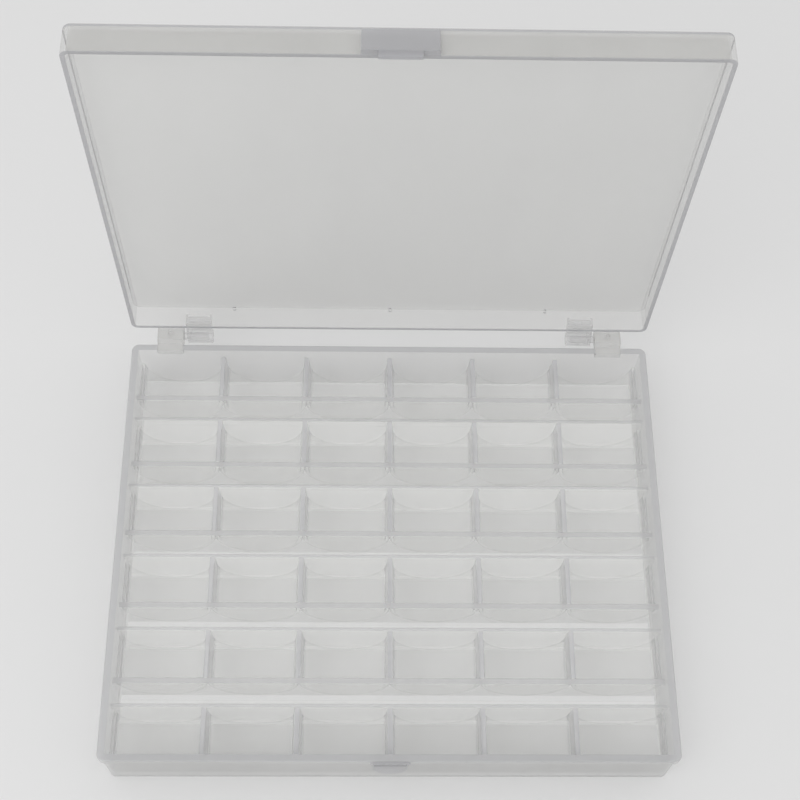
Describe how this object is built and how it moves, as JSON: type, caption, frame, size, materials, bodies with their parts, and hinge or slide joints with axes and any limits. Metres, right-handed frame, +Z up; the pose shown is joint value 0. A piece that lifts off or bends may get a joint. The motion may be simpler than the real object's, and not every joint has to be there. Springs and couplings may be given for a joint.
{
  "type": "bobbin storage box",
  "caption": "Flat see-through box with a hinged lid and rows of round-bottomed pockets for sewing machine bobbins.",
  "frame": {"origin": "middle of the tray's underside, on the plane the box stands on", "axes": "+X to the right as seen from the latch side, +Y from the latch to the hinges, +Z up; the lid stands open at rest, as in the picture"},
  "size_m": [0.145, 0.1298, 0.1411],
  "materials": {
    "tray_plastic": "frosted see-through polypropylene, soft sheen",
    "lid_plastic": "frosted see-through polypropylene, soft sheen",
    "hinge_and_latch_plastic": "the same polypropylene, cloudier where it is thicker"
  },
  "bodies": {
    "tray": {"base_outer_wall": "tray_plastic", "cradle_row_1": "tray_plastic", "cell_dividers_row_1": "tray_plastic", "cradle_row_2": "tray_plastic", "cell_dividers_row_2": "tray_plastic", "cradle_row_3": "tray_plastic", "cell_dividers_row_3": "tray_plastic", "cradle_row_4": "tray_plastic", "cell_dividers_row_4": "tray_plastic", "cradle_row_5": "tray_plastic", "cell_dividers_row_5": "tray_plastic", "cradle_row_6": "tray_plastic", "cell_dividers_row_6": "tray_plastic", "pocket_front_wall_1": "tray_plastic", "pocket_rear_wall_2": "tray_plastic", "channel_floor_1": "tray_plastic", "pocket_front_wall_2": "tray_plastic", "pocket_rear_wall_3": "tray_plastic", "channel_floor_2": "tray_plastic", "pocket_front_wall_3": "tray_plastic", "pocket_rear_wall_4": "tray_plastic", "channel_floor_3": "tray_plastic", "pocket_front_wall_4": "tray_plastic", "pocket_rear_wall_5": "tray_plastic", "channel_floor_4": "tray_plastic", "pocket_front_wall_5": "tray_plastic", "pocket_rear_wall_6": "tray_plastic", "channel_floor_5": "tray_plastic", "hinge_lug_left": "hinge_and_latch_plastic", "hinge_lug_right": "hinge_and_latch_plastic", "hinge_pin_left": "hinge_and_latch_plastic", "hinge_pin_right": "hinge_and_latch_plastic", "latch_catch": "hinge_and_latch_plastic", "thumb_ledge": "hinge_and_latch_plastic"},
    "lid": {"lid_panel": "lid_plastic", "lid_side_wall": "lid_plastic", "hinge_knuckle_left": "hinge_and_latch_plastic", "hinge_knuckle_right": "hinge_and_latch_plastic", "latch_plate": "hinge_and_latch_plastic", "latch_tongue": "hinge_and_latch_plastic"}
  },
  "joints": [
    {"name": "lid_hinge", "type": "hinge", "parent": "tray", "child": "lid", "pos_m": [0, 0.0618, 0.019], "axis": [1, 0, 0], "range_deg": [-94.8, 90]}
  ]
}
